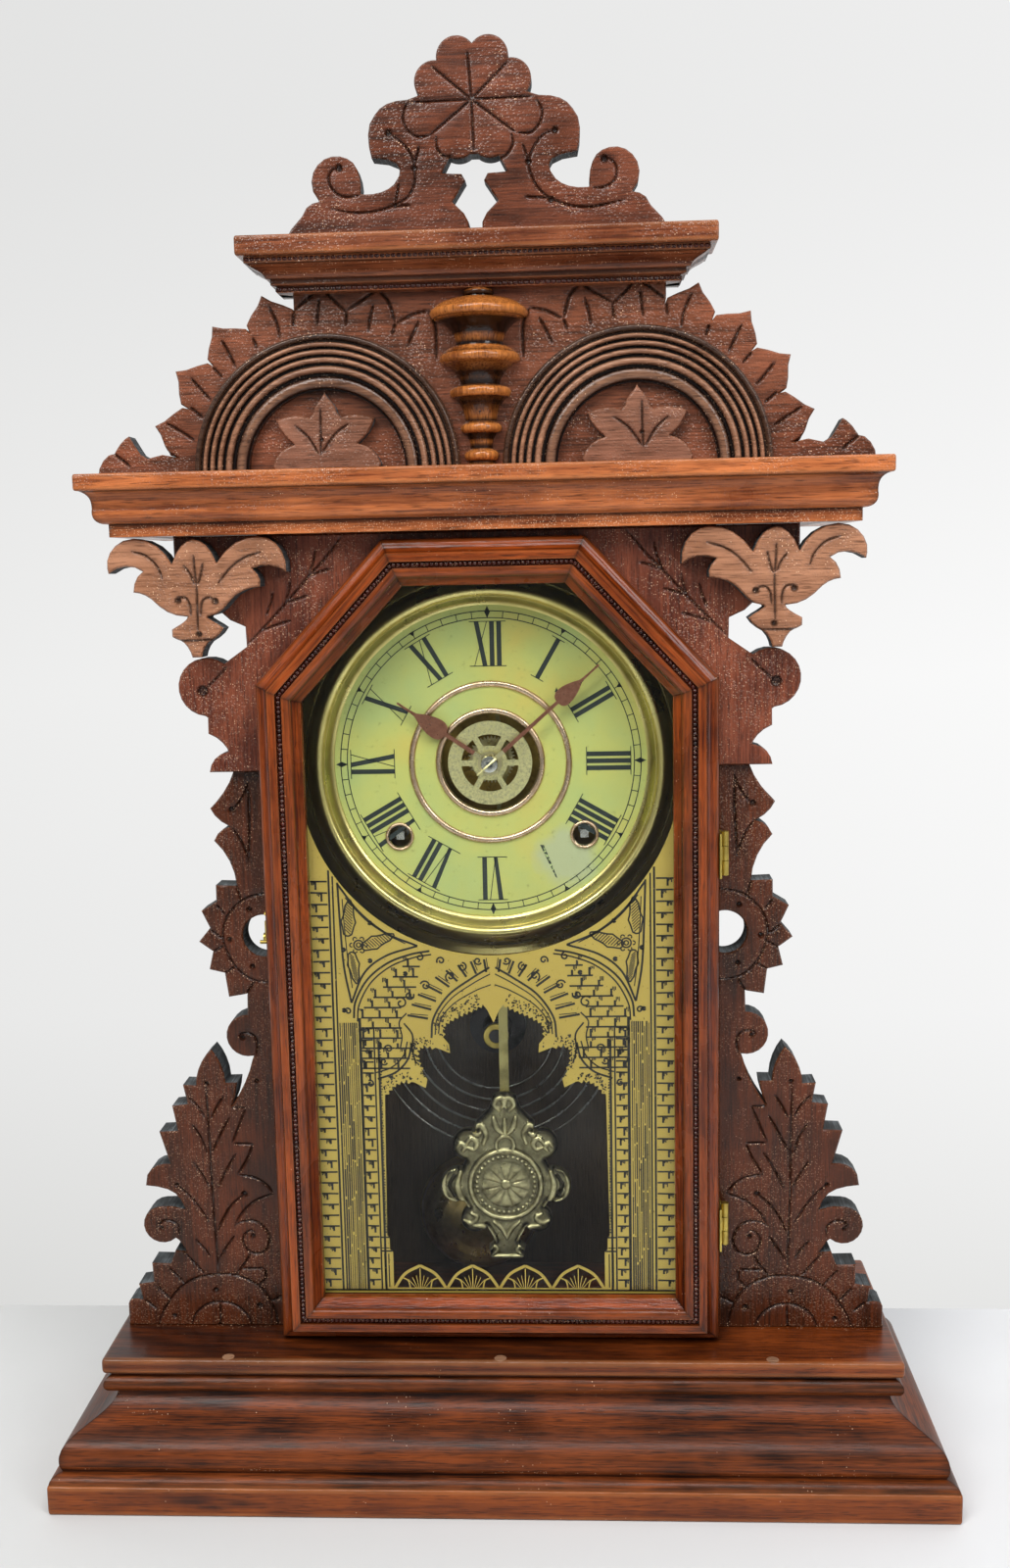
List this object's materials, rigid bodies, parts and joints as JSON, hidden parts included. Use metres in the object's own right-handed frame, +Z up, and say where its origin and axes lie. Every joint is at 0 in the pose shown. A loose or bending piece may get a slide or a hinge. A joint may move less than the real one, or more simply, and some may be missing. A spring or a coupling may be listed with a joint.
{
  "type": "shelf clock",
  "caption": "Carved wooden shelf clock with a hinged glazed door, striking spring movement, pendulum and coil gong.",
  "frame": {"origin": "middle of the underside of the plinth", "axes": "+X to the right of someone who faces the dial, +Y to the back, +Z up"},
  "size_m": [0.375, 0.119, 0.5857],
  "materials": {
    "walnut_carved": "dark walnut, carved, shellac over pores",
    "walnut_moulding": "walnut moulding, worn shellac",
    "walnut_board": "walnut board, worn shellac",
    "walnut_door": "walnut door frame with a rippled bead",
    "walnut_light": "light walnut bracket, carved",
    "turned_wood": "turned wood, polished",
    "case_wood": "dark stained softwood",
    "back_wood": "thin sawn back board",
    "door_glass": "old window glass",
    "brass_fittings": "stamped brass, tarnished",
    "bezel_brass": "spun brass, polished and aged",
    "dial_paper": "printed dial on zinc, yellowed",
    "dial_copper": "spun copper-coloured ring",
    "hand_metal": "stamped hand, copper brown",
    "alarm_brass": "stamped brass disc",
    "movement_brass": "rolled brass sheet",
    "movement_steel": "plain steel",
    "pendulum_brass": "stamped brass, aged",
    "gong_iron": "bronzed cast iron",
    "gong_steel": "blued steel wire",
    "bell_metal": "bell metal, tarnished"
  },
  "bodies": {
    "case": {"wing_left": "walnut_carved", "wing_right": "walnut_carved", "front_board": "walnut_carved", "pediment_board": "walnut_carved", "pediment_leaves": "walnut_carved", "crest": "walnut_carved", "base_moulding": "walnut_moulding", "cornice_moulding": "walnut_moulding", "top_cornice_moulding": "walnut_moulding", "plinth_board": "walnut_board", "base_shelf": "walnut_board", "cornice_board": "walnut_board", "top_cornice_board": "walnut_board", "bracket_left": "walnut_light", "bracket_right": "walnut_light", "spindle": "turned_wood", "pediment_arches": "turned_wood", "case_sides": "case_wood", "case_top": "case_wood", "base_back_rail": "case_wood", "dial_rails": "case_wood", "back_board": "back_wood", "hinge_case_leaves": "brass_fittings", "hinge_pins": "brass_fittings", "catch_screw": "brass_fittings", "bezel": "bezel_brass", "dial_pan": "dial_paper", "dial_rings": "dial_copper", "front_plate": "movement_brass", "back_plate": "movement_brass", "suspension_post": "movement_brass", "plate_pillars": "movement_steel", "time_mainspring": "movement_steel", "strike_mainspring": "movement_steel", "gong_base": "gong_iron", "gong_wire": "gong_steel", "alarm_bell": "bell_metal"},
    "door": {"door_frame": "walnut_door", "door_glass": "door_glass", "glass_strips": "case_wood", "hinge_door_leaves": "brass_fittings", "catch_pin": "brass_fittings"},
    "catch": {"door_catch": "brass_fittings"},
    "center": {"center_arbor": "movement_steel", "minute_hand": "hand_metal"},
    "hour": {"hour_hand": "hand_metal"},
    "alarm_setting": {"alarm_disc": "alarm_brass"},
    "minute_work": {"minute_wheel": "movement_brass"},
    "second": {"time_second_wheel": "movement_brass"},
    "time_great": {"time_great_wheel": "movement_brass"},
    "time_winder": {"time_winding_arbor": "movement_steel"},
    "third": {"third_wheel": "movement_brass"},
    "escape": {"escape_wheel": "movement_brass"},
    "strike_great": {"strike_great_wheel": "movement_brass"},
    "strike_winder": {"strike_winding_arbor": "movement_steel"},
    "strike_second": {"strike_second_wheel": "movement_brass"},
    "hammer": {"strike_hammer": "movement_steel"},
    "pallets": {"verge": "movement_steel"},
    "pendulum": {"pendulum_rod": "pendulum_brass", "pendulum_bob": "pendulum_brass"}
  },
  "joints": [
    {"name": "door_hinge", "type": "hinge", "parent": "case", "child": "door", "pos_m": [0.0962, -0.014, 0.2], "axis": [0, 0, 1], "range_deg": [0, 100]},
    {"name": "catch_turn", "type": "hinge", "parent": "case", "child": "catch", "pos_m": [-0.0948, -0.0108, 0.2338], "axis": [1, 0, 0], "range_deg": [0, 90]},
    {"name": "center_turn", "type": "hinge", "parent": "case", "child": "center", "pos_m": [0, 0.02, 0.305], "axis": [0, 1, 0], "continuous": true},
    {"name": "hour_turn", "type": "hinge", "parent": "case", "child": "hour", "pos_m": [0, 0.02, 0.305], "axis": [0, 1, 0], "continuous": true},
    {"name": "minute_work_turn", "type": "hinge", "parent": "case", "child": "minute_work", "pos_m": [-0.00919, 0.02, 0.29729], "axis": [0, 1, 0], "continuous": true},
    {"name": "second_turn", "type": "hinge", "parent": "case", "child": "second", "pos_m": [0.02339, 0.02, 0.29962], "axis": [0, 1, 0], "continuous": true},
    {"name": "time_great_turn", "type": "hinge", "parent": "case", "child": "time_great", "pos_m": [0.039, 0.02, 0.274], "axis": [0, 1, 0], "continuous": true},
    {"name": "third_turn", "type": "hinge", "parent": "case", "child": "third", "pos_m": [0.00976, 0.02, 0.32693], "axis": [0, 1, 0], "continuous": true},
    {"name": "escape_turn", "type": "hinge", "parent": "case", "child": "escape", "pos_m": [-0.00024, 0.02, 0.34425], "axis": [0, 1, 0], "continuous": true},
    {"name": "alarm_setting_turn", "type": "hinge", "parent": "case", "child": "alarm_setting", "pos_m": [0, 0.02, 0.305], "axis": [0, 1, 0], "continuous": true},
    {"name": "time_winding", "type": "hinge", "parent": "case", "child": "time_winder", "pos_m": [0.039, 0.02, 0.274], "axis": [0, 1, 0], "continuous": true},
    {"name": "strike_great_turn", "type": "hinge", "parent": "case", "child": "strike_great", "pos_m": [-0.039, 0.02, 0.274], "axis": [0, 1, 0], "continuous": true},
    {"name": "strike_second_turn", "type": "hinge", "parent": "case", "child": "strike_second", "pos_m": [-0.02339, 0.02, 0.29962], "axis": [0, 1, 0], "continuous": true},
    {"name": "strike_winding", "type": "hinge", "parent": "case", "child": "strike_winder", "pos_m": [-0.039, 0.02, 0.274], "axis": [0, 1, 0], "continuous": true},
    {"name": "hammer_swing", "type": "hinge", "parent": "case", "child": "hammer", "pos_m": [-0.014, 0.02, 0.259], "axis": [0, 1, 0], "range_deg": [0, 12]},
    {"name": "pendulum_swing", "type": "hinge", "parent": "case", "child": "pendulum", "pos_m": [0.00276, 0.02, 0.36465], "axis": [0, 1, 0], "range_deg": [-2.2, 2.2]},
    {"name": "pallet_rock", "type": "hinge", "parent": "case", "child": "pallets", "pos_m": [0.00276, 0.02, 0.36465], "axis": [0, 1, 0], "range_deg": [-2.2, 2.2]}
  ],
  "couplings": [
    {"joint": "hour_turn", "follows": "center_turn", "ratio": 0.083333},
    {"joint": "minute_work_turn", "follows": "center_turn", "ratio": -0.33333},
    {"joint": "second_turn", "follows": "center_turn", "ratio": -0.33333},
    {"joint": "time_great_turn", "follows": "center_turn", "ratio": 0.083333},
    {"joint": "third_turn", "follows": "center_turn", "ratio": -9},
    {"joint": "escape_turn", "follows": "center_turn", "ratio": 81},
    {"joint": "strike_second_turn", "follows": "strike_great_turn", "ratio": -4},
    {"joint": "pallet_rock", "follows": "pendulum_swing", "ratio": 1}
  ]
}
